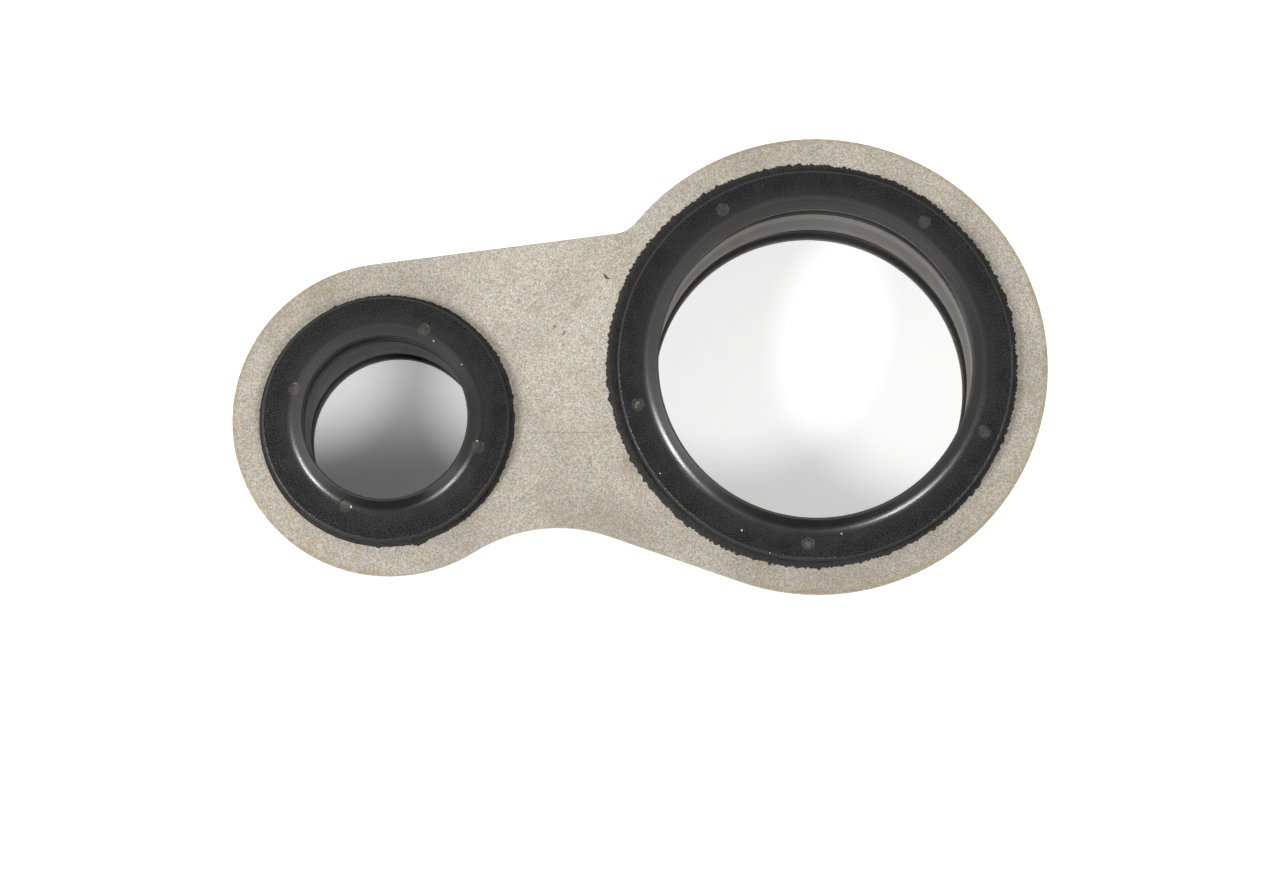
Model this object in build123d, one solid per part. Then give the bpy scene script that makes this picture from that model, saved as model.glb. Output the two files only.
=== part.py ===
from build123d import *
from math import atan2, cos, degrees, radians, sin, sqrt, tan
import os

# Valve body seal: a flat steel carrier plate with two rubber ring seals moulded through its ports.
# The origin is on the large port's axis, level with the crown faces. +Z points up out of the ports
# and +X points away from the small port. Lengths are in millimetres and angles in degrees.

# Ports
port_spacing = 50.0
large_bore_radius = 18.1
small_bore_radius = 9.5

# Plate
plate_thickness = 1.0
plate_edge_round = 0.15
large_plate_margin = 4.0
small_plate_margin = 4.1
large_lobe_shift = (0.2, 0.2)
small_lobe_shift = (0.5, 0.2)
neck_fillet_radius = 3.5
waist_radius = 17.9
waist_flank_angle = 26.6

# Rubber section of both ring seals: widths are measured outward from the bore
section_width = 4.8
bond_width = 1.6
lip_slope_width = 1.45
lip_slope_angle = 33.0
groove_depth = 1.6
large_land_relief = 0.4
small_land_relief = 0.25
land_draft = 0.2
large_foot_lip_relief = 0.5
small_foot_lip_relief = 0.7
flash_width = 0.45
flash_thickness = 0.12

# Levels of both ring seals, measured from the crown faces
crown_height = 1.8
sleeve_depth = 18.2
top_lip_depth = 0.15
foot_lip_height = 1.3
large_land_top_depth = 3.7
large_land_bottom_depth = 13.0
small_land_top_depth = 3.9
small_land_bottom_depth = 12.6

# Roundings of both ring seals
large_slope_round = 1.8
small_slope_round = 1.55
lip_tip_round = 0.16
lip_edge_round = 0.05
crown_round = 0.3
foot_round = 0.5
mouth_round = 0.2
land_round = 0.2
groove_round = 0.4

# Round marks left by the mould's ejector pins, sunk in the crowns
pin_mark_radius = 0.8
pin_mark_depth = 0.1
large_pin_inset = 1.85
small_pin_inset = 3.1
large_pin_angles = (45, 113, 186, 260, 330)
small_pin_angles = (60, 155, 239, 335)

# The crowns' outer walls, which the plate's lobes surround and its holes are cut inside
large_outer_radius = large_bore_radius + section_width
small_outer_radius = small_bore_radius + section_width
large_port = Vector(0, 0)
small_port = Vector(-port_spacing, 0)

# The plate's two faces, which the rubber grips between crown and sleeve
plate_top = -crown_height
plate_bottom = plate_top - plate_thickness


def carrier_plate():
    """The stamped plate: two lobes, a level upper side, and a waist cut into the lower side."""
    large_lobe_radius = large_outer_radius + large_plate_margin
    small_lobe_radius = small_outer_radius + small_plate_margin
    large_centre = large_port + Vector(*large_lobe_shift)
    small_centre = small_port + Vector(*small_lobe_shift)

    # The upper side runs level off the small lobe and turns into the large lobe through a small fillet.
    top_level = small_centre.Y + small_lobe_radius
    fillet_rise = top_level + neck_fillet_radius - large_centre.Y
    fillet_run = sqrt((large_lobe_radius + neck_fillet_radius) ** 2 - fillet_rise**2)
    fillet_centre = large_centre + Vector(-fillet_run, fillet_rise)
    neck_angle = degrees(atan2(fillet_rise, -fillet_run))

    # The lower side leaves the large lobe along a straight flank. The waist arc touches that flank and
    # the small lobe, so its centre lies one known distance from the flank and another from the lobe.
    outward = Vector(-sin(radians(waist_flank_angle)), -cos(radians(waist_flank_angle)))
    along = Vector(-cos(radians(waist_flank_angle)), sin(radians(waist_flank_angle)))
    flank_start = large_centre + outward * large_lobe_radius
    offset = flank_start + outward * waist_radius - small_centre
    reach = small_lobe_radius + waist_radius
    run = -offset.dot(along) - sqrt(offset.dot(along) ** 2 - offset.dot(offset) + reach**2)
    waist_centre = small_centre + offset + along * run
    flank_end = waist_centre - outward * waist_radius
    flank_turn = 270 - waist_flank_angle
    waist_offset = waist_centre - small_centre
    touch_angle = degrees(atan2(waist_offset.Y, waist_offset.X)) + 360

    with BuildPart() as plate:
        with BuildSketch(Plane.XY.offset(plate_top)):
            with BuildLine():
                CenterArc(small_centre, small_lobe_radius, 90, touch_angle - 90)
                CenterArc(waist_centre, waist_radius, touch_angle - 180, flank_turn - touch_angle)
                Line(flank_end, flank_start)
                CenterArc(large_centre, large_lobe_radius, flank_turn, 360 + neck_angle - flank_turn)
                CenterArc(fillet_centre, neck_fillet_radius, 270, neck_angle - 90)
                Line((fillet_centre.X, top_level), (small_centre.X, top_level))
            make_face()
        extrude(amount=-plate_thickness)
        fillet(plate.edges().filter_by(Plane.XY), plate_edge_round)
        with Locations(large_port + Vector(0, 0, plate_top)):
            Hole(large_outer_radius - bond_width)
        with Locations(small_port + Vector(0, 0, plate_top)):
            Hole(small_outer_radius - bond_width)
    return plate.part


def ring_seal(
    bore_radius,
    slope_round,
    land_relief,
    land_top_depth,
    land_bottom_depth,
    foot_lip_relief,
    pin_inset,
    pin_angles,
):
    """A revolved rubber ring: crown, raised top lip, two grooves with a land between, and foot lip."""
    outer_radius = bore_radius + section_width
    bond_radius = outer_radius - bond_width
    slope_radius = bore_radius + lip_slope_width
    lip_height = lip_slope_width * tan(radians(lip_slope_angle))
    land_top_radius = bore_radius + land_relief
    land_bottom_radius = land_top_radius + land_draft
    groove_radius = bore_radius + groove_depth
    foot_lip_radius = bore_radius + foot_lip_relief
    foot_lip_depth = sleeve_depth - foot_lip_height
    flash_top = plate_top + flash_thickness

    # Each corner of the half section is a radius, a height and the corner's rounding.
    corners = (
        (outer_radius, 0, crown_round),
        (slope_radius, 0, slope_round),
        (bore_radius, lip_height, lip_tip_round),
        (bore_radius, -top_lip_depth, lip_edge_round),
        (groove_radius, -top_lip_depth, groove_round),
        (groove_radius, -land_top_depth, groove_round),
        (land_top_radius, -land_top_depth, land_round),
        (land_bottom_radius, -land_bottom_depth, land_round),
        (groove_radius, -land_bottom_depth, groove_round),
        (groove_radius, -foot_lip_depth, groove_round),
        (foot_lip_radius, -foot_lip_depth, land_round),
        (foot_lip_radius, -sleeve_depth, mouth_round),
        (outer_radius, -sleeve_depth, foot_round),
        (outer_radius, plate_bottom, 0),
        (bond_radius, plate_bottom, 0),
        (bond_radius, plate_top, 0),
        (outer_radius + flash_width, plate_top, 0),
        (outer_radius + flash_width, flash_top, 0),
        (outer_radius, flash_top, 0),
    )
    with BuildPart() as ring:
        with BuildSketch(Plane.XZ):
            with BuildLine():
                FilletPolyline(
                    [(radius, height) for radius, height, _ in corners],
                    radius=[rounding for _, _, rounding in corners],
                    close=True,
                )
            make_face()
        revolve(axis=Axis.Z)
        with BuildSketch(Plane.XY):
            for angle in pin_angles:
                with PolarLocations(outer_radius - pin_inset, 1, start_angle=angle):
                    Circle(pin_mark_radius)
        extrude(amount=-pin_mark_depth, mode=Mode.SUBTRACT)
    return ring.part


large_port_seal = ring_seal(
    large_bore_radius,
    large_slope_round,
    large_land_relief,
    large_land_top_depth,
    large_land_bottom_depth,
    large_foot_lip_relief,
    large_pin_inset,
    large_pin_angles,
)
small_port_seal = ring_seal(
    small_bore_radius,
    small_slope_round,
    small_land_relief,
    small_land_top_depth,
    small_land_bottom_depth,
    small_foot_lip_relief,
    small_pin_inset,
    small_pin_angles,
)

os.makedirs("parts", exist_ok=True)
export_step(carrier_plate(), "parts/carrier_plate.step")
export_step(Pos(large_port) * large_port_seal, "parts/large_port_seal.step")
export_step(Pos(small_port) * small_port_seal, "parts/small_port_seal.step")
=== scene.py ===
"""Finishes, moulding flash, wear, floor, lamps and camera for a two-port valve body seal."""

import math
from collections import namedtuple

import bmesh
import bpy
from bpy.props import FloatProperty, FloatVectorProperty, IntProperty, PointerProperty
from mathutils import Matrix, Vector, noise


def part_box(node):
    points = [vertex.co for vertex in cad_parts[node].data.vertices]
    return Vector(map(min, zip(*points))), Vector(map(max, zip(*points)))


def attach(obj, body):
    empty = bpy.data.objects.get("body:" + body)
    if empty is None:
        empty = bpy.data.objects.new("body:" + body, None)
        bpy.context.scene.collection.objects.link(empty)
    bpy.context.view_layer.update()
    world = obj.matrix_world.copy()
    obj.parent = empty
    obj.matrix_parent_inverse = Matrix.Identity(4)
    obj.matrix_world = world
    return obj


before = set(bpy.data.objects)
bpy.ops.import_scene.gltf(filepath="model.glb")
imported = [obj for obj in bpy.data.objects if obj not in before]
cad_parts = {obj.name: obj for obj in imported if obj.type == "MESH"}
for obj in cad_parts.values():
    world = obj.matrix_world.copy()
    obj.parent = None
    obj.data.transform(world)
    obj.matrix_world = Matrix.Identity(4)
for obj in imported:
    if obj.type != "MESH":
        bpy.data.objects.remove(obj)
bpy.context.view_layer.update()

bl_info = {
    "name": "Valve body seal",
    "version": (1, 0, 0),
    "blender": (4, 5, 0),
    "location": "3D View > Sidebar > Seal",
    "description": "Finishes, moulding flash, wear and studio for a two-port valve body seal",
    "category": "Object",
}

MM = 0.001

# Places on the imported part, read from its own nodes
LARGE_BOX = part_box("large_port_seal")
SMALL_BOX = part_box("small_port_seal")
LARGE_AXIS = Vector((0.0, 0.0, 0.0))
SMALL_AXIS = Vector(((SMALL_BOX[0][0] + SMALL_BOX[1][0]) / 2, 0.0, 0.0))
FOOT_LEVEL = LARGE_BOX[0][2]
PLATE_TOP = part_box("carrier_plate")[1][2]

# Each ring's radii (bore, foot of the lip's slope, crown's outer wall), and the levels of its
# land's top and bottom
RingSizes = namedtuple("RingSizes", "bore foot wall land_top land_bottom")
LARGE_SIZES = RingSizes(18.1 * MM, 20.1 * MM, 22.9 * MM, -3.7 * MM, -13.0 * MM)
SMALL_SIZES = RingSizes(9.5 * MM, 11.4 * MM, 14.3 * MM, -3.9 * MM, -12.6 * MM)

# Each ring: node, axis, sizes, share of the dust film and its painted light, share of haze, radius
# that the pin marks stand on, the marks' directions in degrees and shares of brown, and worn
# patches: x, y, half length and half width in millimetres
RINGS = (
    ("large_port_seal", LARGE_AXIS, LARGE_SIZES, 1.0, 0.45, 21.05 * MM,
     ((45, 0.1), (113, 0.15), (186, 1.0), (260, 0.4), (330, 0.15)), ()),
    ("small_port_seal", SMALL_AXIS, SMALL_SIZES, 0.2, 0.2, 11.2 * MM,
     ((60, 0.1), (155, 0.25), (239, 0.1), (335, 0.1)), ((-43.3, -8.4, 2.8, 2.2),)),
)

# Half widths of a pin mark and of its brown middle, and the softness of their edges
PIN_MARK_SIZE = 0.72 * MM
PIN_HEART_SIZE = 0.4 * MM
PIN_MARK_SOFTNESS = 0.16

# Depth of a pin mark's bump in pebble heights, and the level that the crowns' faces lie above
PIN_MARK_DEPTH = 3.2
CROWN_LEVEL = -1.0 * MM

# Sizes of the rubber's bloom and of its worn spots
BLOOM_SIZE = 2.6 * MM
WORN_SIZE = 0.3 * MM

# The plate's two lobes: x of the centre, radius, and the span of x over which the rim's yellowing
# comes in. Both centres lie the same shift towards +Y.
LOBE_SHIFT = 0.2 * MM
LOBES = (
    (0.2 * MM, 26.9 * MM, -13 * MM, -9 * MM),
    (-49.5 * MM, 18.4 * MM, -50 * MM, -54 * MM),
)

# Distances inside the rim between which the yellowing comes in
RIM_START = 0.75 * MM
RIM_FULL = 0.1 * MM

# Sizes of the plate's broad clouds, of its mottling, and of its freckles, which also break up the
# yellowed rim
BROAD_SIZE = 9 * MM
MOTTLE_SIZE = 1.7 * MM
FRECKLE_SIZE = 0.45 * MM

# Painted pool of light: brightest at this place between the ports, with painted shade away from it
PAINTED_LIGHT_PLACE = (-28 * MM, 10 * MM, PLATE_TOP)

# Nicks, scratches and smears on the plate: x and y in millimetres, direction in degrees from +X,
# half length and half width in millimetres, bend, softness, strength
PLATE_MARKS = (
    (-22.67, 13.57, -52, 0.46, 0.13, 1.3, 0.35, 0.95),
    (-28.98, -4.15, -7, 5.4, 0.08, 0.0, 0.9, 0.45),
    (-21.7, -8.6, 25, 2.6, 1.2, 0.4, 0.7, 0.32),
    (-28.3, 7.6, 40, 0.32, 0.14, 0.0, 0.6, 0.6),
    (-29.3, 8.5, 10, 0.22, 0.18, 0.0, 0.6, 0.6),
    (-28.6, 6.2, 70, 0.25, 0.15, 0.0, 0.6, 0.45),
    (-26.4, 10.9, 30, 0.9, 0.35, 0.3, 0.8, 0.3),
    (-33.1, 12.2, 80, 0.5, 0.2, 0.0, 0.8, 0.3),
    (-27.2, -14.6, -12, 4.5, 2.6, 0.0, 0.8, 0.34),
    (-4.0, 25.6, 0, 5.0, 1.7, 0.1, 0.8, 0.24),
    (0.5, -25.6, 0, 6.5, 1.8, -0.1, 0.8, 0.26),
    (-56.0, 15.6, 20, 5.0, 2.2, 0.0, 0.8, 0.2),
    (-27.2, -7.8, -80, 0.62, 0.17, 0.2, 0.5, 0.5),
    (-35.4, -11.0, 25, 0.36, 0.13, 0.0, 0.6, 0.48),
    (-32.6, -10.0, 30, 2.2, 0.7, 0.0, 0.9, 0.16),
)

# Marks stronger than this are dark nicks, and the others are brown smears and scratches
NICK_STRENGTH = 0.5
NICK_COLOUR = (0.03, 0.027, 0.022, 1.0)
SMEAR_COLOUR = (0.2, 0.16, 0.11, 1.0)

# About the mean radius of a dust speck, as a share of the specks' spacing
DUST_SIZE = 0.07

# The flash film's section outside the crown's wall (shares of its reach, of its thickness and of
# the tear that moves its outer edge), how far the film starts inside the wall, and the fewest
# steps round it
FILM_SECTION = (
    (0.2, 1.1, 0.15), (0.6, 1.0, 0.5), (0.93, 0.82, 0.95), (1.0, 0.4, 1.0), (1.0, 0.0, 1.0),
)
FILM_OVERLAP = 0.3 * MM
FEWEST_STEPS = 64

# Seeds of the noise along the film's torn edge
TOOTH_SEED = 3.7
NOTCH_SEED = 8.0
SLOW_DRIFT_SEED = 11.0
FAST_DRIFT_SEED = 5.0
SWELL_SEED = 2.0

# The sides on which the films are widest, and the crumbs below the small film: direction, height
# and half width
LARGE_WIDEST = math.radians(138)
SMALL_WIDEST = math.radians(30)
SMALL_CRUMBS = (
    (math.radians(-100.4), 0.24 * MM, 0.5 * MM),
    (math.radians(-82.6), 0.42 * MM, 0.6 * MM),
    (math.radians(-79.2), 0.22 * MM, 0.4 * MM),
)

# Directions of the softboxes (the angle round from +X, then the angle down from straight above),
# and the place that they look at
EAST_DIRECTION = (math.radians(-50), math.radians(37))
WEST_DIRECTION = (math.radians(-168), math.radians(42))
LAMP_TARGET = Vector((-20 * MM, 0.0, 0.0))

# The floor, its gap below the foot faces, and the radii, hidden under the rings, between which it
# passes from the shade in a bore to the light round the part
FLOOR_RADIUS = 4.0
FLOOR_SIDES = 128
FLOOR_GAP = 0.02 * MM
LARGE_SHADE = (21 * MM, 24 * MM)
SMALL_SHADE = (13 * MM, 16 * MM)

# The photograph's camera: its place, its right and back directions, and its sensor in millimetres
CAMERA_PLACE = Vector((-25.45, -64.18, 357.72)) * MM
CAMERA_RIGHT = Vector((0.99187, -0.12699, -0.00877))
CAMERA_BACK = Vector((-0.01165, -0.15918, 0.98718))
SENSOR_WIDTH = 36.0
NEAR_CLIP = 0.01

WHITE = (1.0, 1.0, 1.0, 1.0)


class SealPlateFinish(bpy.types.PropertyGroup):
    """Colours and grain of the stamped plate."""

    steel_colour: FloatVectorProperty(
        name="Steel colour", description="Main colour of the plate's dull face",
        subtype="COLOR", size=4, min=0.0, max=1.0, default=(0.530, 0.486, 0.410, 1.0))
    # The shade colour serves both the darker clouds and the painted shade
    cloud_and_painted_shade_colour: FloatVectorProperty(
        name="Shade colour", description="Colour of the plate's darker clouds",
        subtype="COLOR", size=4, min=0.0, max=1.0, default=(0.36, 0.326, 0.272, 1.0))
    stain_colour: FloatVectorProperty(
        name="Stain colour", description="Colour of the brown mottling, the freckles and the rim",
        subtype="COLOR", size=4, min=0.0, max=1.0, default=(0.34, 0.258, 0.125, 1.0))
    grey_colour: FloatVectorProperty(
        name="Grey colour", description="Colour of the cold grey patches",
        subtype="COLOR", size=4, min=0.0, max=1.0, default=(0.37, 0.365, 0.36, 1.0))
    cut_colour: FloatVectorProperty(
        name="Cut edge colour", description="Colour of the bare steel on the plate's cut edge",
        subtype="COLOR", size=4, min=0.0, max=1.0, default=(0.56, 0.545, 0.51, 1.0))
    grain_size: FloatProperty(
        name="Grain size", description="Width of one speck of the plate's grain",
        unit="LENGTH", min=0.00005, default=0.17 * MM)


class SealRubberFinish(bpy.types.PropertyGroup):
    """Colours and surface of the moulded rubber."""

    rubber_colour: FloatVectorProperty(
        name="Rubber colour", description="Colour of the moulded rubber",
        subtype="COLOR", size=4, min=0.0, max=1.0, default=(0.0048, 0.0049, 0.0051, 1.0))
    bloom_colour: FloatVectorProperty(
        name="Bloom colour", description="Colour of the greyish bloom on handled rubber",
        subtype="COLOR", size=4, min=0.0, max=1.0, default=(0.0085, 0.0086, 0.009, 1.0))
    # The lip's colour is lighter than the rubber's: a painted sheen on the lip and down the bore
    lip_sheen_colour: FloatVectorProperty(
        name="Lip colour", description="Colour of the smooth lip round each bore",
        subtype="COLOR", size=4, min=0.0, max=1.0, default=(0.0125, 0.0122, 0.0122, 1.0))
    flash_colour: FloatVectorProperty(
        name="Flash colour", description="Colour of the thin rubber film on the plate",
        subtype="COLOR", size=4, min=0.0, max=1.0, default=(0.0135, 0.0123, 0.0110, 1.0))
    rubbed_colour: FloatVectorProperty(
        name="Rubbed colour", description="Colour of the rubbed rubber in the pin marks",
        subtype="COLOR", size=4, min=0.0, max=1.0, default=(0.046, 0.045, 0.043, 1.0))
    heart_colour: FloatVectorProperty(
        name="Heart colour", description="Colour of the brown middles of the pin marks",
        subtype="COLOR", size=4, min=0.0, max=1.0, default=(0.19, 0.145, 0.075, 1.0))
    # The film's colour also paints the light and reflection on the lands and the foot lips
    dust_and_painted_light_colour: FloatVectorProperty(
        name="Film colour", description="Colour of the film of dust on the lands and the foot lips",
        subtype="COLOR", size=4, min=0.0, max=1.0, default=(0.17, 0.15, 0.13, 1.0))
    dust_colour: FloatVectorProperty(
        name="Dust colour", description="Colour of the dust specks",
        subtype="COLOR", size=4, min=0.0, max=1.0, default=(0.5, 0.48, 0.44, 1.0))
    pebble_size: FloatProperty(
        name="Pebble size", description="Width of one pebble of the crown's moulded texture",
        unit="LENGTH", min=0.00005, default=0.16 * MM)


class SealFlashSizes(bpy.types.PropertyGroup):
    """Sizes of the ragged flash film round each crown."""

    large_reach: FloatProperty(
        name="Large reach", description="Mean width of the film outside the large crown's wall",
        unit="LENGTH", min=0.0, default=0.89 * MM)
    small_reach: FloatProperty(
        name="Small reach", description="Mean width of the film outside the small crown's wall",
        unit="LENGTH", min=0.0, default=0.45 * MM)
    large_lean: FloatProperty(
        name="Large lean", description="How much wider the large film is on its widest side",
        unit="LENGTH", default=0.36 * MM)
    small_lean: FloatProperty(
        name="Small lean", description="How much wider the small film is on its widest side",
        unit="LENGTH", default=0.11 * MM)
    tooth_pitch: FloatProperty(
        name="Tooth pitch", description="Mean spacing of the teeth along the film's torn edge",
        unit="LENGTH", min=0.0001, default=0.46 * MM)
    tooth_depth: FloatProperty(
        name="Tooth depth", description="Depth of the teeth along the film's torn edge",
        unit="LENGTH", min=0.0, default=0.14 * MM)
    film_thickness: FloatProperty(
        name="Film thickness", description="Thickness of the film on the plate",
        unit="LENGTH", min=0.00002, default=0.2 * MM)
    steps: IntProperty(
        name="Steps", description="Spin steps round the large film",
        min=64, default=2200)


class SealStudio(bpy.types.PropertyGroup):
    """Lamps, floor and lens."""

    east_power: FloatProperty(
        name="East lamp power", description="Power of the softbox to the lower right of the part",
        unit="POWER", min=0.0, default=6.5)
    west_power: FloatProperty(
        name="West lamp power", description="Power of the softbox to the left of the part",
        unit="POWER", min=0.0, default=8.3)
    east_size: FloatProperty(
        name="East lamp size", description="Diameter of the softbox to the lower right of the part",
        unit="LENGTH", min=0.01, default=0.32)
    west_size: FloatProperty(
        name="West lamp size", description="Diameter of the softbox to the left of the part",
        unit="LENGTH", min=0.01, default=0.335)
    lamp_distance: FloatProperty(
        name="Lamp distance", description="Distance of both softboxes from the part",
        unit="LENGTH", min=0.1, default=1.2)
    floor_colour: FloatVectorProperty(
        name="Floor colour", description="Colour of the plain floor",
        subtype="COLOR", size=4, min=0.0, max=1.0, default=(0.8, 0.8, 0.8, 1.0))
    focal_length: FloatProperty(
        name="Focal length", description="Lens of the camera, on a 36 mm wide sensor",
        unit="CAMERA", min=10.0, default=88.594)


def put(tree, kind, sockets=None, **settings):
    """Add one node, apply its settings, and fill or link each socket named by key or number."""
    made = tree.nodes.new(kind)
    for name, value in settings.items():
        setattr(made, name, value)
    for key, value in (sockets or {}).items():
        if isinstance(value, bpy.types.NodeSocket):
            tree.links.new(value, made.inputs[key])
        else:
            made.inputs[key].default_value = value
    return made


def maths(tree, operation, *values, clamp=False):
    """Output of one Math node over sockets or numbers."""
    made = put(
        tree, "ShaderNodeMath", dict(enumerate(values)), operation=operation, use_clamp=clamp)
    return made.outputs[0]


def plus(tree, first, second, clamp=False):
    """Sum of two sockets or numbers."""
    return maths(tree, "ADD", first, second, clamp=clamp)


def times(tree, first, second, clamp=False):
    """Product of two sockets or numbers."""
    return maths(tree, "MULTIPLY", first, second, clamp=clamp)


def larger(tree, first, second):
    """The larger of two sockets or numbers."""
    return maths(tree, "MAXIMUM", first, second)


def blend(tree, factor, first, second, mode="MIX"):
    """Output of one colour Mix node."""
    made = put(
        tree, "ShaderNodeMix", {0: factor, 6: first, 7: second}, data_type="RGBA", blend_type=mode)
    return made.outputs[2]


def ramp(tree, value, low, high, start=0.0, end=1.0):
    """Smoothly remap a value from low..high to start..end."""
    made = put(
        tree, "ShaderNodeMapRange", {0: value, 1: low, 2: high, 3: start, 4: end},
        interpolation_type="SMOOTHSTEP")
    return made.outputs[0]


def fade(tree, value, low, high, start=1.0):
    """Smoothly fall from start at low to nothing at high."""
    return ramp(tree, value, low, high, start, 0.0)


def grey(tree, value):
    """Grey colour as bright as the value."""
    return put(tree, "ShaderNodeCombineColor", {0: value, 1: value, 2: value}).outputs[0]


def split(tree, vector):
    """X, Y and Z of a vector."""
    return put(tree, "ShaderNodeSeparateXYZ", {0: vector}).outputs


def clouds(tree, vector, size, detail, rough):
    """Noise whose features are about the given size in metres."""
    made = put(
        tree, "ShaderNodeTexNoise",
        {"Vector": vector, "Scale": 1.0 / size, "Detail": detail, "Roughness": rough})
    return made.outputs["Fac"]


def add_bump(tree, shader, strength, distance, height):
    """Give the shader's surface a bump."""
    bump = put(
        tree, "ShaderNodeBump", {"Strength": strength, "Distance": distance, "Height": height})
    tree.links.new(bump.outputs[0], shader.inputs["Normal"])


def new_group(name, inputs, outputs):
    """Empty shader node group with float, vector or colour sockets, and its two end nodes."""
    tree = bpy.data.node_groups.new(name, "ShaderNodeTree")
    for label, kind, value in inputs:
        socket = tree.interface.new_socket(name=label, in_out="INPUT", socket_type=kind)
        if value is not None:
            socket.default_value = value
    for label, kind in outputs:
        tree.interface.new_socket(name=label, in_out="OUTPUT", socket_type=kind)
    given = tree.nodes.new("NodeGroupInput").outputs
    result = tree.nodes.new("NodeGroupOutput").inputs
    return tree, given, result


def speck_group():
    """Fine grain: a speck value and a faint tint, both changing over about the given size."""
    tree, given, result = new_group(
        "seal_specks",
        [("Vector", "NodeSocketVector", None), ("Size", "NodeSocketFloat", 0.2 * MM)],
        [("Speck", "NodeSocketFloat"), ("Tint", "NodeSocketColor")])
    scale = maths(tree, "DIVIDE", 1.0, given["Size"])
    fine = put(
        tree, "ShaderNodeTexNoise",
        {"Vector": given["Vector"], "Scale": scale, "Detail": 1.0, "Roughness": 0.6})
    tint_scale = maths(tree, "DIVIDE", 0.8, given["Size"])
    tint = put(
        tree, "ShaderNodeTexNoise",
        {"Vector": given["Vector"], "Scale": tint_scale, "Detail": 0.0, "Roughness": 0.5})
    tree.links.new(ramp(tree, fine.outputs["Fac"], 0.3, 0.7), result["Speck"])
    tree.links.new(tint.outputs["Color"], result["Tint"])
    return tree


def dust_group():
    """Sparse specks of dust: small round dots in a few cells of a Voronoi pattern."""
    tree, given, result = new_group(
        "seal_dust",
        [("Vector", "NodeSocketVector", None), ("Spacing", "NodeSocketFloat", 2 * MM),
         ("Amount", "NodeSocketFloat", 0.2), ("Size", "NodeSocketFloat", 0.08)],
        [("Mask", "NodeSocketFloat")])
    scale = maths(tree, "DIVIDE", 1.0, given["Spacing"])
    cells = put(tree, "ShaderNodeTexVoronoi", {"Vector": given["Vector"], "Scale": scale})
    pick = put(tree, "ShaderNodeSeparateColor", {0: cells.outputs["Color"]})
    chosen = maths(tree, "LESS_THAN", pick.outputs[0], given["Amount"])
    size = times(tree, given["Size"], plus(tree, pick.outputs[1], 0.35))
    near = maths(tree, "LESS_THAN", cells.outputs["Distance"], size)
    tree.links.new(times(tree, chosen, near), result["Mask"])
    return tree


def ring_group():
    """Radius from a vertical axis, and how far a point lies between two radii."""
    tree, given, result = new_group(
        "seal_ring_zone",
        [("Vector", "NodeSocketVector", None), ("Axis X", "NodeSocketFloat", 0.0),
         ("Inner", "NodeSocketFloat", 18 * MM), ("Outer", "NodeSocketFloat", 20 * MM)],
        [("Radius", "NodeSocketFloat"), ("Zone", "NodeSocketFloat")])
    place = split(tree, given["Vector"])
    across = maths(tree, "SUBTRACT", place[0], given["Axis X"])
    square = plus(tree, times(tree, across, across), times(tree, place[1], place[1]))
    radius = maths(tree, "SQRT", square)
    tree.links.new(radius, result["Radius"])
    tree.links.new(ramp(tree, radius, given["Inner"], given["Outer"]), result["Zone"])
    return tree


def mark_group():
    """Soft spot or streak: 1 inside an ellipse, turned and bent like a comma, and 0 outside."""
    tree, given, result = new_group(
        "seal_mark",
        [("Vector", "NodeSocketVector", None), ("Centre", "NodeSocketVector", None),
         ("Turn", "NodeSocketFloat", 0.0), ("Long", "NodeSocketFloat", 0.5 * MM),
         ("Wide", "NodeSocketFloat", 0.2 * MM), ("Bend", "NodeSocketFloat", 0.0),
         ("Soft", "NodeSocketFloat", 0.3)],
        [("Mask", "NodeSocketFloat")])
    moved = put(
        tree, "ShaderNodeVectorMath", {0: given["Vector"], 1: given["Centre"]},
        operation="SUBTRACT").outputs[0]
    turned = put(
        tree, "ShaderNodeVectorRotate", {"Vector": moved, "Angle": given["Turn"]},
        rotation_type="Z_AXIS").outputs[0]
    place = split(tree, turned)
    along = maths(tree, "DIVIDE", place[0], given["Long"])
    bend = times(tree, given["Bend"], times(tree, along, along))
    across = maths(tree, "SUBTRACT", maths(tree, "DIVIDE", place[1], given["Wide"]), bend)
    square = plus(tree, times(tree, along, along), times(tree, across, across))
    reach = maths(tree, "SQRT", square)
    near = maths(tree, "SUBTRACT", 1.0, given["Soft"])
    far = plus(tree, 1.0, given["Soft"])
    tree.links.new(fade(tree, reach, near, far), result["Mask"])
    return tree


BUILDERS = {"specks": speck_group, "dust": dust_group, "ring": ring_group, "mark": mark_group}
GROUPS = {}


def use_group(tree, name, sockets):
    """Place a shared node group, built the first time that it is asked for; return its outputs."""
    if name not in GROUPS:
        GROUPS[name] = BUILDERS[name]()
    return put(tree, "ShaderNodeGroup", sockets, node_tree=GROUPS[name]).outputs


def specks(tree, place, size):
    """Speck and tint of the fine grain."""
    return use_group(tree, "specks", {"Vector": place, "Size": size})


def dust_specks(tree, place, spacing, amount):
    """Mask of the sparse dust specks."""
    return use_group(tree, "dust", {
        "Vector": place, "Spacing": spacing, "Amount": amount, "Size": DUST_SIZE})["Mask"]


def ring_zone(tree, place, axis_x, inner, outer):
    """Radius from a vertical axis, and the zone that comes in from the inner to the outer one."""
    return use_group(tree, "ring", {
        "Vector": place, "Axis X": axis_x, "Inner": inner, "Outer": outer})


def mark(tree, place, centre, long, wide, soft, turn=0.0, bend=0.0):
    """Mask of one soft spot or streak with the given half length and half width."""
    return use_group(tree, "mark", {
        "Vector": place, "Centre": centre, "Turn": turn, "Long": long, "Wide": wide,
        "Bend": bend, "Soft": soft})["Mask"]


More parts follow.
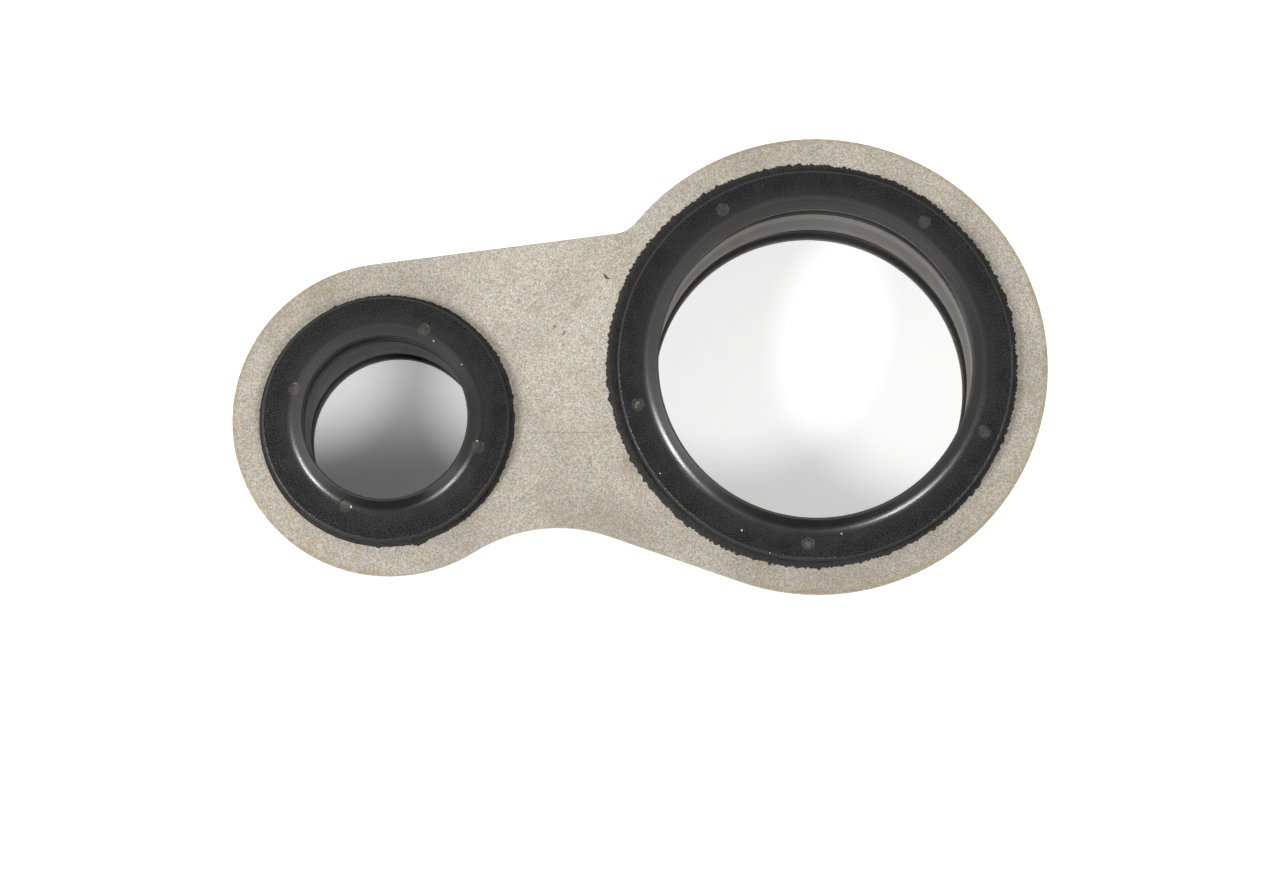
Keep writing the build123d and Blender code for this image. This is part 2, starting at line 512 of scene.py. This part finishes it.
def new_material(name):
    """Empty node material, with its tree, its Principled BSDF and its object coordinates."""
    material = bpy.data.materials.new(name)
    material.use_nodes = True
    tree = material.node_tree
    tree.nodes.clear()
    shader = tree.nodes.new("ShaderNodeBsdfPrincipled")
    output = tree.nodes.new("ShaderNodeOutputMaterial")
    tree.links.new(shader.outputs[0], output.inputs[0])
    place = tree.nodes.new("ShaderNodeTexCoord").outputs["Object"]
    return material, tree, shader, place


def plate_material(look):
    """Dull blasted steel: clouds, a painted pool of light and painted shade, specks, mottling, a
    browned rim, a bright cut edge and marks.
    """
    material, tree, shader, place = new_material("blasted_plate_steel")
    grain = specks(tree, place, look.grain_size)
    broad = clouds(tree, place, BROAD_SIZE, detail=3.0, rough=0.55)
    patchy = clouds(tree, place, MOTTLE_SIZE, detail=4.0, rough=0.62)

    # Painted light and shade: a painted pool of light at the bright place, painted shade away from
    # it and towards the waisted side; and darker in clouds
    far = put(
        tree, "ShaderNodeVectorMath", {0: place, 1: PAINTED_LIGHT_PLACE},
        operation="DISTANCE").outputs["Value"]
    along, away, _ = split(tree, place)
    painted_light_and_shade = plus(
        tree, ramp(tree, far, 1 * MM, 18 * MM, end=0.48),
        fade(tree, away, -26 * MM, -9 * MM, start=0.35))
    shade = plus(tree, ramp(tree, broad, 0.42, 0.7, start=-0.15, end=0.35), painted_light_and_shade, clamp=True)
    colour = blend(tree, shade, look.steel_colour, look.cloud_and_painted_shade_colour)
    speck = plus(tree, 0.7, times(tree, grain["Speck"], 0.6))
    colour = blend(tree, 1.0, colour, grey(tree, speck), "MULTIPLY")
    colour = blend(tree, 0.2, colour, grain["Tint"], "OVERLAY")

    # Yellow-brown mottling, cold grey patches between it, and small freckles
    mottling = ramp(tree, patchy, 0.5, 0.72, end=0.36)
    colour = blend(tree, mottling, colour, look.stain_colour)
    colour = blend(tree, fade(tree, patchy, 0.28, 0.48, start=0.3), colour, look.grey_colour)
    freckles = clouds(tree, place, FRECKLE_SIZE, detail=2.0, rough=0.6)
    colour = blend(tree, ramp(tree, freckles, 0.56, 0.72, end=0.36), colour, look.stain_colour)

    # The rim: brown where the top face turns over the stamped edge, and yellowed in patches just
    # inside it, round the outer part of each lobe; then the bare steel of the cut edge
    normal = tree.nodes.new("ShaderNodeNewGeometry").outputs["Normal"]
    facing = split(tree, normal)[2]
    upright = maths(tree, "ABSOLUTE", facing)
    edge = fade(tree, upright, 0.6, 0.998)
    shifted = put(
        tree, "ShaderNodeVectorMath", {0: place, 1: (0.0, LOBE_SHIFT, 0.0)},
        operation="SUBTRACT").outputs[0]
    for axis_x, radius, first, last in LOBES:
        zone = ring_zone(tree, shifted, axis_x, radius - RIM_START, radius - RIM_FULL)["Zone"]
        zone = times(tree, zone, ramp(tree, along, first, last))
        zone = times(tree, zone, ramp(tree, freckles, 0.36, 0.58, start=0.1, end=0.75))
        edge = larger(tree, edge, zone)
    colour = blend(tree, times(tree, edge, 0.85), colour, look.stain_colour)
    colour = blend(tree, fade(tree, upright, 0.1, 0.5), colour, look.cut_colour)

    # The rotation turns the coordinates and not the mark, so it takes the direction's negative
    upper = maths(tree, "GREATER_THAN", facing, 0.5)
    for x, y, direction, long, wide, bend, soft, strength in PLATE_MARKS:
        mask = mark(
            tree, place, (x * MM, y * MM, PLATE_TOP), long * MM, wide * MM, soft,
            turn=-math.radians(direction), bend=bend)
        mask = times(tree, mask, times(tree, upper, strength))
        shown = NICK_COLOUR if strength > NICK_STRENGTH else SMEAR_COLOUR
        colour = blend(tree, mask, colour, shown)

    tree.links.new(colour, shader.inputs["Base Color"])
    shader.inputs["Metallic"].default_value = 0.25
    roughness = ramp(tree, broad, 0.3, 0.7, start=0.5, end=0.62)
    tree.links.new(roughness, shader.inputs["Roughness"])
    add_bump(tree, shader, strength=0.45, distance=0.02 * MM, height=grain["Speck"])
    return material


def pin_marks(tree, place, level, worn, look, colour, marks):
    """Colour the round pin marks, rubbed grey and some brown in the middle; give their mask too."""
    crown = maths(tree, "GREATER_THAN", level, CROWN_LEVEL)
    pits = 0.0
    for x, y, brown_share in marks:
        centre = (x, y, 0.0)
        whole = mark(tree, place, centre, PIN_MARK_SIZE, PIN_MARK_SIZE, PIN_MARK_SOFTNESS)
        heart = mark(tree, place, centre, PIN_HEART_SIZE, PIN_HEART_SIZE, PIN_MARK_SOFTNESS)
        whole = times(tree, whole, crown)
        pits = plus(tree, whole, pits)
        rubbed = times(tree, whole, ramp(tree, worn, 0.3, 0.7, start=0.45))
        colour = blend(tree, rubbed, colour, look.rubbed_colour)
        brown = times(
            tree, times(tree, heart, crown), ramp(tree, worn, 0.42, 0.56, end=brown_share))
        colour = blend(tree, brown, colour, look.heart_colour)
    return colour, pits


def dust_and_painted_light_film(tree, radius, level, worn, pebbles, sizes, dust_and_light_share):
    """Mask of the dust film and its painted light: on the land, thickest near its top where it
    paints the lamps' light, on the foot lip and on the tip.
    """
    bore, top, bottom = sizes.bore, sizes.land_top, sizes.land_bottom
    inside = fade(tree, radius, bore + 0.8 * MM, bore + 1.2 * MM)
    # Painted light on the land: strongest just below its top, where the lamps reach, and weaker
    # near its bottom
    high = ramp(tree, level, top - 3.6 * MM, top - 2.0 * MM, start=0.3)
    high = times(tree, high, fade(tree, level, top - 0.35 * MM, top - 0.05 * MM))
    on_land = ramp(tree, level, bottom + 0.05 * MM, bottom + 0.4 * MM)
    low = fade(tree, level, bottom + 1.5 * MM, bottom + 3.0 * MM)
    low = times(tree, low, on_land)
    dust_and_light_amount = plus(tree, times(tree, high, on_land), times(tree, low, 0.35))
    foot_lip = fade(tree, level, FOOT_LEVEL + 0.7 * MM, FOOT_LEVEL + 1.1 * MM, start=0.5)
    dust_and_light_amount = plus(tree, dust_and_light_amount, foot_lip)
    mottle = plus(
        tree, ramp(tree, worn, 0.3, 0.7, start=0.45, end=0.9), times(tree, pebbles, 0.45))
    mottle = times(tree, mottle, dust_and_light_share)
    dust_and_light = times(tree, times(tree, inside, dust_and_light_amount), mottle, clamp=True)
    tip = times(
        tree, fade(tree, radius, bore + 0.1 * MM, bore + 0.3 * MM, start=0.12 * dust_and_light_share),
        ramp(tree, level, 0.4 * MM, 0.6 * MM))
    return larger(tree, dust_and_light, tip)


def rubber_roughness(tree, radius, level, on_flat, bloom, pebbles, patches, sizes):
    """Roughness: smooth on the lip's slope, duller down the bore, on the tip and on the wall."""
    bore, wall = sizes.bore, sizes.wall
    down = fade(tree, radius, bore + 0.14 * MM, bore + 0.3 * MM)
    down = larger(tree, down, fade(tree, level, -0.3 * MM, -0.1 * MM))
    down = times(tree, down, fade(tree, radius, bore + 2.2 * MM, bore + 2.6 * MM))
    roughness = ramp(tree, on_flat, 0.0, 1.0, start=0.26, end=0.29)
    roughness = plus(tree, roughness, times(tree, down, 0.3))
    tip = times(
        tree, fade(tree, radius, bore + 0.2 * MM, bore + 0.42 * MM, start=0.22),
        ramp(tree, level, 0.3 * MM, 0.5 * MM))
    roughness = plus(tree, roughness, tip)
    outside = ramp(tree, radius, wall - 0.28 * MM, wall - 0.1 * MM, end=0.5)
    roughness = plus(tree, roughness, outside)
    uneven = ramp(tree, bloom, 0.3, 0.7, start=-0.03, end=0.04)
    grit = times(tree, on_flat, ramp(tree, pebbles, 0.0, 1.0, start=-0.08, end=0.08))
    uneven = plus(tree, uneven, grit)
    for patch in patches:
        uneven = plus(tree, uneven, times(tree, patch, 0.07))
    return plus(tree, roughness, uneven, clamp=True)


def rubber_material(name, look, axis_x, sizes, dust_and_light_share, haze_share, marks, worn_patches):
    """Moulded rubber: smooth on the lip and painted lighter there (a painted sheen), pebbled on the
    crown's flat, dusty with painted light down the bore.
    """
    foot = sizes.foot
    material, tree, shader, place = new_material(name)
    ring = ring_zone(tree, place, axis_x, foot - 0.6 * MM, foot + 0.2 * MM)
    radius, on_flat = ring["Radius"], ring["Zone"]
    pebbles = specks(tree, place, look.pebble_size)["Speck"]
    dust = dust_specks(tree, place, 1.4 * MM, 0.2)
    bloom = clouds(tree, place, BLOOM_SIZE, detail=4.0, rough=0.6)
    worn = clouds(tree, place, WORN_SIZE, detail=2.0, rough=0.6)
    level = split(tree, place)[2]

    speckled = grey(tree, plus(tree, 0.1, times(tree, pebbles, 1.8)))
    flat = blend(
        tree, ramp(tree, bloom, 0.4, 0.75, end=0.7), look.rubber_colour, look.bloom_colour)
    flat = blend(tree, 1.0, flat, speckled, "MULTIPLY")
    # The lip and the bore are painted lighter than the crown's flat: a painted sheen
    lip = blend(tree, ramp(tree, bloom, 0.35, 0.75, end=0.5), look.lip_sheen_colour, look.bloom_colour)
    colour = blend(tree, ramp(tree, radius, foot + 0.2 * MM, foot + 1.4 * MM), lip, flat)
    colour, pits = pin_marks(tree, place, level, worn, look, colour, marks)
    dust_and_light = dust_and_painted_light_film(tree, radius, level, worn, pebbles, sizes, dust_and_light_share)
    colour = blend(tree, dust_and_light, colour, look.dust_and_painted_light_colour)
    colour = blend(tree, dust, colour, look.dust_colour)
    tree.links.new(colour, shader.inputs["Base Color"])

    patches = [
        mark(tree, place, (x * MM, y * MM, 0.0), long * MM, wide * MM, soft=0.6)
        for x, y, long, wide in worn_patches]
    roughness = rubber_roughness(tree, radius, level, on_flat, bloom, pebbles, patches, sizes)
    tree.links.new(roughness, shader.inputs["Roughness"])
    shader.inputs["Specular IOR Level"].default_value = 0.75

    # A rough coat over the slope's foot, for the soft haze outside each bright arc
    haze = times(
        tree, ramp(tree, radius, foot - 0.85 * MM, foot - 0.6 * MM, end=haze_share),
        fade(tree, radius, foot - 0.5 * MM, foot + 0.15 * MM))
    tree.links.new(haze, shader.inputs["Coat Weight"])
    shader.inputs["Coat Roughness"].default_value = 0.42

    # Pebbles on the flat, and the pin marks pressed in
    pressed = times(tree, pits, PIN_MARK_DEPTH)
    height = maths(tree, "SUBTRACT", times(tree, pebbles, on_flat), pressed)
    add_bump(tree, shader, strength=0.8, distance=0.013 * MM, height=height)
    return material


def flash_material(look):
    """Thin torn rubber film: brownish black, dull and uneven."""
    material, tree, shader, place = new_material("flash_rubber")
    speck = specks(tree, place, 0.3 * MM)["Speck"]
    dust = dust_specks(tree, place, 1.5 * MM, 0.16)
    lighter = tuple(2.4 * part for part in look.flash_colour[:3]) + (1.0,)
    colour = blend(tree, speck, look.flash_colour, lighter)
    colour = blend(tree, dust, colour, look.dust_colour)
    tree.links.new(colour, shader.inputs["Base Color"])
    roughness = ramp(tree, speck, 0.0, 1.0, start=0.6, end=0.75)
    tree.links.new(roughness, shader.inputs["Roughness"])
    shader.inputs["Specular IOR Level"].default_value = 0.35
    add_bump(tree, shader, strength=0.6, distance=0.04 * MM, height=speck)
    return material


def dress(name, material):
    """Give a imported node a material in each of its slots."""
    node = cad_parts[name]
    if not node.material_slots:
        node.data.materials.append(material)
    for slot in node.material_slots:
        slot.material = material


def object_from(name, shape, material):
    """Turn a bmesh into an object of one material and link it to the scene."""
    mesh = bpy.data.meshes.new(name)
    shape.to_mesh(mesh)
    shape.free()
    made = bpy.data.objects.new(name, mesh)
    bpy.context.scene.collection.objects.link(made)
    mesh.materials.append(material)
    return made


def torn(angle, waves, seed):
    """Noise between about -1 and 1 round a circle, with the given number of waves."""
    reach = waves / math.tau
    place = Vector((reach * math.cos(angle), reach * math.sin(angle), seed))
    return 2.0 * noise.noise(place)


def tear_at(angle, wall_radius, teeth, lean, widest, raggedness, crumbs, tooth_depth):
    """How far the film's torn edge stands outside its mean circle in one direction."""
    tooth = abs(torn(angle, 0.8 * teeth, TOOTH_SEED)) * 2.0 - 0.7
    notch = torn(angle, 2.1 * teeth, NOTCH_SEED)
    drift = torn(angle, 9.0, SLOW_DRIFT_SEED) + 0.6 * torn(angle, 34.0, FAST_DRIFT_SEED)
    tear = raggedness * tooth_depth * (0.8 * tooth + 0.5 * notch + 0.45 * drift)
    tear += lean * math.cos(angle - widest)
    for crumb_angle, crumb_height, crumb_width in crumbs:
        gap = math.remainder(angle - crumb_angle, math.tau) * wall_radius / crumb_width
        tear += crumb_height * math.exp(-gap * gap)
    return tear


def flash_film(
        name, axis, wall_radius, reach, lean, widest, raggedness, crumbs, sizes, material):
    """Spin a low film round a crown, then tear its outer edge into teeth."""
    inner = wall_radius - FILM_OVERLAP
    steps = max(FEWEST_STEPS, round(sizes.steps * wall_radius / LARGE_SIZES.wall))
    top = sizes.film_thickness
    section = [(inner, 0.0, 0.0), (inner, top, 0.0)]
    for reach_share, height_share, tear_share in FILM_SECTION:
        section.append((wall_radius + reach_share * reach, height_share * top, tear_share))
    shape = bmesh.new()
    share = shape.verts.layers.float.new("share")
    corners = []
    for radius, height, tear_share in section:
        corner = shape.verts.new((radius, 0.0, height))
        corner[share] = tear_share
        corners.append(corner)
    edges = [shape.edges.new(pair) for pair in zip(corners, corners[1:] + corners[:1])]
    bmesh.ops.spin(
        shape, geom=corners + edges, cent=(0.0, 0.0, 0.0), axis=(0.0, 0.0, 1.0),
        dvec=(0.0, 0.0, 0.0), angle=math.tau, steps=steps, use_merge=True, use_duplicate=False)

    # One tear and one swelling for each step round the film, shared by its whole section
    teeth = math.tau * wall_radius / sizes.tooth_pitch
    tears = {}
    for point in shape.verts:
        angle = math.atan2(point.co.y, point.co.x)
        radius = math.hypot(point.co.x, point.co.y)
        step = round(angle * steps / math.tau) % steps
        if step not in tears:
            tear = tear_at(
                angle, wall_radius, teeth, lean, widest, raggedness, crumbs, sizes.tooth_depth)
            tears[step] = tear, torn(angle, 0.3 * teeth, SWELL_SEED)
        tear, swell = tears[step]
        moved = radius + tear * point[share]
        point.co.x *= moved / radius
        point.co.y *= moved / radius
        point.co.z *= 1.0 + 0.35 * swell * min(1.0, point[share] * 2.0)
    bmesh.ops.translate(shape, verts=shape.verts, vec=axis + Vector((0.0, 0.0, PLATE_TOP)))
    bmesh.ops.recalc_face_normals(shape, faces=shape.faces)
    for face in shape.faces:
        face.smooth = True
    piece = object_from(name, shape, material)
    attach(piece, "root")


class SEAL_OT_dress_plate(bpy.types.Operator):
    """Finish the stamped plate in dull grained steel"""

    bl_idname = "seal.dress_plate"
    bl_label = "Dress plate"

    def execute(self, context):
        dress("carrier_plate", plate_material(context.scene.seal_plate))
        return {"FINISHED"}


class SEAL_OT_dress_rings(bpy.types.Operator):
    """Finish both port seals in moulded rubber"""

    bl_idname = "seal.dress_rings"
    bl_label = "Dress rings"

    def execute(self, context):
        look = context.scene.seal_rubber
        for name, axis, sizes, dust_and_light_share, haze_share, pin_radius, pins, worn_patches in RINGS:
            marks = []
            for angle, brown_share in pins:
                turn = math.radians(angle)
                x = axis.x + pin_radius * math.cos(turn)
                marks.append((x, pin_radius * math.sin(turn), brown_share))
            dress(name, rubber_material(
                name + "_rubber", look, axis.x, sizes, dust_and_light_share, haze_share, marks,
                worn_patches))
        return {"FINISHED"}


class SEAL_OT_add_flash(bpy.types.Operator):
    """Add the torn moulding flash that lies on the plate round each crown"""

    bl_idname = "seal.add_flash"
    bl_label = "Add flash"

    def execute(self, context):
        sizes = context.scene.seal_flash
        material = flash_material(context.scene.seal_rubber)
        flash_film(
            "large_flash", LARGE_AXIS, LARGE_SIZES.wall, sizes.large_reach, sizes.large_lean,
            LARGE_WIDEST, raggedness=1.0, crumbs=(), sizes=sizes, material=material)
        flash_film(
            "small_flash", SMALL_AXIS, SMALL_SIZES.wall, sizes.small_reach, sizes.small_lean,
            SMALL_WIDEST, raggedness=0.6, crumbs=SMALL_CRUMBS, sizes=sizes, material=material)
        return {"FINISHED"}


def add_lamp(name, direction, distance, size, power):
    """Softbox that looks at the middle of the part from the given direction."""
    light = bpy.data.lights.new(name, "AREA")
    light.shape = "DISK"
    light.size = size
    light.energy = power
    lamp = bpy.data.objects.new(name, light)
    azimuth, zenith = direction
    out = Vector((
        math.sin(zenith) * math.cos(azimuth), math.sin(zenith) * math.sin(azimuth),
        math.cos(zenith)))
    turn = out.to_track_quat("Z", "Y").to_matrix().to_4x4()
    lamp.matrix_world = Matrix.Translation(LAMP_TARGET + distance * out) @ turn
    bpy.context.scene.collection.objects.link(lamp)


class SEAL_OT_set_stage(bpy.types.Operator):
    """Lay the pale floor and set the lamps, the surroundings and the camera"""

    bl_idname = "seal.set_stage"
    bl_label = "Set stage"

    def execute(self, context):
        studio = context.scene.seal_studio
        self.lay_floor(studio)
        reach = studio.lamp_distance
        add_lamp("softbox_east", EAST_DIRECTION, reach, studio.east_size, studio.east_power)
        add_lamp("softbox_west", WEST_DIRECTION, reach, studio.west_size, studio.west_power)
        self.set_surroundings(context.scene)
        self.set_camera(context.scene, studio)
        return {"FINISHED"}

    def lay_floor(self, studio):
        """A plain floor at the foot of the rings: white around the part, shaded in the bores, where
        a painted light glows too.
        """
        shape = bmesh.new()
        bmesh.ops.create_circle(shape, cap_ends=True, segments=FLOOR_SIDES, radius=FLOOR_RADIUS)
        bmesh.ops.translate(shape, verts=shape.verts, vec=(0.0, 0.0, FOOT_LEVEL - FLOOR_GAP))
        material, tree, shader, place = new_material("floor_white")
        floor = object_from("floor", shape, material)
        shader.inputs["Base Color"].default_value = studio.floor_colour
        shader.inputs["Roughness"].default_value = 0.9
        shader.inputs["Specular IOR Level"].default_value = 0.1

        # It glows to the camera and in reflections, and lights nothing
        large = ring_zone(tree, place, LARGE_AXIS.x, *LARGE_SHADE)["Zone"]
        small = ring_zone(tree, place, SMALL_AXIS.x, *SMALL_SHADE)["Zone"]
        rays = tree.nodes.new("ShaderNodeLightPath").outputs
        seen = larger(
            tree, rays["Is Camera Ray"],
            larger(tree, rays["Is Glossy Ray"], rays["Is Transmission Ray"]))
        # Painted light in the bores: a glow of 0.46 in the large bore; in the small bore a glow
        # painted brighter towards +Y, with painted shade towards -Y
        away = split(tree, place)[1]
        dim = times(
            tree, fade(tree, small, 0.0, 1.0),
            ramp(tree, away, -4 * MM, 9 * MM, start=0.07, end=0.36))
        inside = plus(tree, fade(tree, large, 0.0, 1.0, start=0.46), dim)
        glow = ramp(tree, times(tree, large, small), 0.0, 1.0, end=0.75)
        glow = plus(tree, glow, inside)
        shader.inputs["Emission Color"].default_value = WHITE
        tree.links.new(times(tree, seen, glow), shader.inputs["Emission Strength"])

    def set_surroundings(self, scene):
        """White to the camera; to everything else a dim room, brighter behind and at both sides."""
        world = bpy.data.worlds.new("room")
        scene.world = world
        world.use_nodes = True
        tree = world.node_tree
        tree.nodes.clear()
        rays = tree.nodes.new("ShaderNodeLightPath").outputs
        way = split(tree, tree.nodes.new("ShaderNodeTexCoord").outputs["Generated"])
        behind = plus(
            tree, ramp(tree, way[1], -0.95, -0.1, start=0.04, end=0.17),
            ramp(tree, way[1], 0.2, 0.65, end=0.45))
        left = times(
            tree, fade(tree, way[0], -0.95, -0.1, start=1.1), ramp(tree, way[1], -0.8, -0.3))
        left = times(tree, left, ramp(tree, way[1], 0.0, 0.6, start=1.0, end=0.4))
        right = ramp(tree, way[0], 0.2, 0.7, end=0.35)
        glow = plus(tree, behind, plus(tree, left, right))
        white = put(tree, "ShaderNodeBackground", {0: WHITE, 1: 1.0})
        dim = put(tree, "ShaderNodeBackground", {0: WHITE, 1: glow})
        seen = larger(tree, rays["Is Camera Ray"], rays["Is Transmission Ray"])
        mixed = put(
            tree, "ShaderNodeMixShader", {0: seen, 1: dim.outputs[0], 2: white.outputs[0]})
        put(tree, "ShaderNodeOutputWorld", {0: mixed.outputs[0]})

    def set_camera(self, scene, studio):
        """The photograph's view: high over the part and a little in front of it."""
        lens = bpy.data.cameras.new("camera")
        lens.sensor_fit = "HORIZONTAL"
        lens.sensor_width = SENSOR_WIDTH
        lens.lens = studio.focal_length
        lens.clip_start = NEAR_CLIP
        camera = bpy.data.objects.new("camera", lens)
        back = CAMERA_BACK.normalized()
        up = back.cross(CAMERA_RIGHT).normalized()
        turn = Matrix((up.cross(back), up, back)).transposed().to_4x4()
        camera.matrix_world = Matrix.Translation(CAMERA_PLACE) @ turn
        scene.collection.objects.link(camera)
        scene.camera = camera
        scene.view_settings.view_transform = "Standard"


class SEAL_PT_panel(bpy.types.Panel):
    """The seal's steps and settings"""

    bl_label = "Valve body seal"
    bl_idname = "SEAL_PT_panel"
    bl_space_type = "VIEW_3D"
    bl_region_type = "UI"
    bl_category = "Seal"

    def draw(self, context):
        scene = context.scene
        for owner, step in (
            (scene.seal_plate, "seal.dress_plate"),
            (scene.seal_rubber, "seal.dress_rings"),
            (scene.seal_flash, "seal.add_flash"),
            (scene.seal_studio, "seal.set_stage"),
        ):
            box = self.layout.box()
            for name in owner.bl_rna.properties.keys():
                if name not in ("rna_type", "name"):
                    box.prop(owner, name)
            box.operator(step)


CLASSES = (
    SealPlateFinish,
    SealRubberFinish,
    SealFlashSizes,
    SealStudio,
    SEAL_OT_dress_plate,
    SEAL_OT_dress_rings,
    SEAL_OT_add_flash,
    SEAL_OT_set_stage,
    SEAL_PT_panel,
)


def register():
    """Register the classes and hang the settings on the scene."""
    for item in CLASSES:
        bpy.utils.register_class(item)
    bpy.types.Scene.seal_plate = PointerProperty(type=SealPlateFinish)
    bpy.types.Scene.seal_rubber = PointerProperty(type=SealRubberFinish)
    bpy.types.Scene.seal_flash = PointerProperty(type=SealFlashSizes)
    bpy.types.Scene.seal_studio = PointerProperty(type=SealStudio)


def unregister():
    """Take the settings and the classes away again."""
    for name in ("seal_plate", "seal_rubber", "seal_flash", "seal_studio"):
        delattr(bpy.types.Scene, name)
    for item in reversed(CLASSES):
        bpy.utils.unregister_class(item)


def main():
    """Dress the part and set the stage."""
    register()
    bpy.ops.seal.dress_plate()
    bpy.ops.seal.dress_rings()
    bpy.ops.seal.add_flash()
    bpy.ops.seal.set_stage()


if __name__ == "__main__":
    main()
